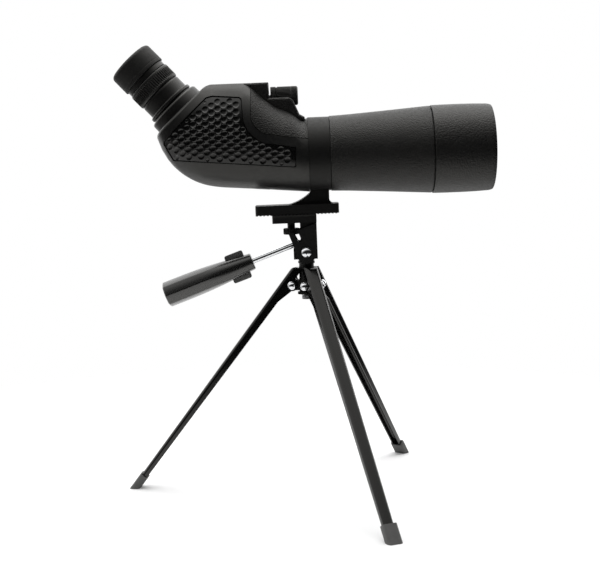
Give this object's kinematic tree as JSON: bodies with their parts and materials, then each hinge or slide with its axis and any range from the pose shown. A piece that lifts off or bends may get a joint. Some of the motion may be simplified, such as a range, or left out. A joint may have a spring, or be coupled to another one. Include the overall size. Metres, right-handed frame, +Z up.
{
  "type": "spotting scope on table-top tripod",
  "caption": "Angled zoom spotting scope with sliding sunshade and grip panels, on a folding three-leg table-top tripod with a pan and tilt handle.",
  "frame": {"origin": "on the floor under the middle of the object's box, beside the tripod's pan axis", "axes": "+Z up from the feet; +X roughly where the scope looks, which is turned 6.27 degrees from it about Z"},
  "size_m": [0.3154, 0.277, 0.3797],
  "materials": {
    "satin_housing": "satin black plastic",
    "armour": "fine pebbled rubber armour",
    "hood_finish": "pebbled black plastic",
    "grip_rubber": "dimpled glossy rubber",
    "eyepiece_metal": "satin black enamel",
    "cast_black": "matte black enamel",
    "gloss_black": "gloss black enamel",
    "grip_plastic": "gloss black plastic",
    "knob_plastic": "knurled black plastic",
    "chrome": "bright chrome plate",
    "steel": "turned steel",
    "brass": "turned brass",
    "inner_black": "black anodised",
    "lens_glass": "coated optical glass",
    "foot_rubber": "dark grey rubber",
    "pad_rubber": "black rubber sheet",
    "eyecup_rubber": "soft matte rubber"
  },
  "bodies": {
    "tripod": {"tripod_hub": "cast_black", "hub_bottom_plate": "cast_black", "pan_washer": "inner_black", "leg_pivot_bolts": "chrome", "leg_pivot_nuts": "chrome"},
    "rear_leg": {"leg_rear": "gloss_black", "foot_rear": "foot_rubber"},
    "right_leg": {"leg_right": "gloss_black", "foot_right": "foot_rubber"},
    "left_leg": {"leg_left": "gloss_black", "foot_left": "foot_rubber"},
    "turntable": {"pan_head": "cast_black", "pan_bolt": "steel"},
    "head": {"inner_tilt_bracket": "cast_black", "outer_tilt_bracket": "cast_black", "tilt_screw": "chrome", "tilt_nut": "chrome", "tilt_washers": "cast_black", "handle_lock_nut": "steel", "platform_plate": "cast_black", "platform_pad": "pad_rubber", "mounting_collar": "cast_black", "thread_insert": "brass", "main_barrel": "armour", "objective_cell": "inner_black", "objective_flint_lens": "lens_glass", "objective_spacer_ring": "inner_black", "objective_crown_lens": "lens_glass", "objective_retaining_ring": "inner_black", "barrel_baffle": "inner_black", "rear_housing": "satin_housing", "saddle_cover": "armour", "grip_panel_right": "grip_rubber", "grip_panel_left": "grip_rubber", "prism": "lens_glass", "prism_holder": "inner_black", "focus_bushing": "brass", "eyepiece_collar": "eyepiece_metal", "eyepiece_body": "eyepiece_metal", "eyepiece_guide_tube": "eyepiece_metal", "field_stop": "inner_black", "eye_lens": "lens_glass", "eye_lens_ring": "inner_black"},
    "handle": {"handle_rod": "chrome", "handle_grip": "grip_plastic"},
    "camera_screw": {"mounting_screw": "cast_black", "thumbwheel": "cast_black"},
    "sunshade": {"sunshade_hood": "hood_finish"},
    "focus_drive": {"focus_knob": "knob_plastic", "focus_end_cap": "knob_plastic", "focus_lead_screw": "steel"},
    "focus_group": {"focus_carriage": "inner_black", "focus_lens": "lens_glass"},
    "zoom_control": {"zoom_ring": "knob_plastic"},
    "zoom_front_group": {"zoom_front_cell": "inner_black", "zoom_front_lens": "lens_glass"},
    "zoom_rear_group": {"zoom_rear_cell": "inner_black", "zoom_rear_lens": "lens_glass"},
    "eyecup_group": {"eyecup": "eyecup_rubber", "eyecup_sleeve": "inner_black"}
  },
  "joints": [
    {"name": "pan", "type": "hinge", "parent": "tripod", "child": "turntable", "pos_m": [-0.00024, 0, 0.197], "axis": [0, 0, 1], "continuous": true},
    {"name": "tilt", "type": "hinge", "parent": "turntable", "child": "head", "pos_m": [-0.00024, 0, 0.207], "axis": [-0.1092, 0.994, 0], "range_deg": [-20, 35]},
    {"name": "handle_twist", "type": "hinge", "parent": "head", "child": "handle", "pos_m": [-0.01112, -0.0012, 0.21221], "axis": [-0.9297, -0.1021, -0.354], "range_deg": [0, 360]},
    {"name": "camera_screw_turn", "type": "hinge", "parent": "head", "child": "camera_screw", "pos_m": [-0.01242, -0.00134, 0.22368], "axis": [-0.0265, -0.0029, 0.9996], "continuous": true},
    {"name": "sunshade_slide", "type": "slide", "parent": "head", "child": "sunshade", "axis": [0.9937, 0.1092, 0.0267], "range_m": [0, 0.032]},
    {"name": "focus_turn", "type": "hinge", "parent": "head", "child": "focus_drive", "pos_m": [-0.02356, -0.00256, 0.33632], "axis": [0.9937, 0.1092, 0.0267], "range_deg": [-360, 360]},
    {"name": "focus_travel", "type": "slide", "parent": "head", "child": "focus_group", "axis": [0.9937, 0.1092, 0.0267], "range_m": [-0.0049, 0.0049]},
    {"name": "zoom_turn", "type": "hinge", "parent": "head", "child": "zoom_control", "pos_m": [-0.12379, -0.01358, 0.34579], "axis": [-0.6909, -0.0759, 0.719], "range_deg": [0, 150]},
    {"name": "zoom_front_travel", "type": "slide", "parent": "head", "child": "zoom_front_group", "axis": [-0.6909, -0.0759, 0.719], "range_m": [0, 0.0073]},
    {"name": "zoom_rear_travel", "type": "slide", "parent": "head", "child": "zoom_rear_group", "axis": [-0.6909, -0.0759, 0.719], "range_m": [-0.0073, 0]},
    {"name": "eyecup_slide", "type": "slide", "parent": "head", "child": "eyecup_group", "axis": [-0.6909, -0.0759, 0.719], "range_m": [0, 0.008]},
    {"name": "rear_leg_fold", "type": "hinge", "parent": "tripod", "child": "rear_leg", "pos_m": [-0.01204, 0, 0.1787], "axis": [0, -1, 0], "range_deg": [0, 37]},
    {"name": "right_leg_fold", "type": "hinge", "parent": "tripod", "child": "right_leg", "pos_m": [0.00566, -0.01022, 0.1787], "axis": [0.866, 0.5, 0], "range_deg": [0, 37]},
    {"name": "left_leg_fold", "type": "hinge", "parent": "tripod", "child": "left_leg", "pos_m": [0.00566, 0.01022, 0.1787], "axis": [-0.866, 0.5, 0], "range_deg": [0, 37]}
  ],
  "couplings": [
    {"joint": "focus_turn", "follows": "focus_travel", "rad_per_m": 1282},
    {"joint": "zoom_turn", "follows": "zoom_front_travel", "rad_per_m": 358},
    {"joint": "zoom_rear_travel", "follows": "zoom_front_travel", "ratio": -1}
  ]
}
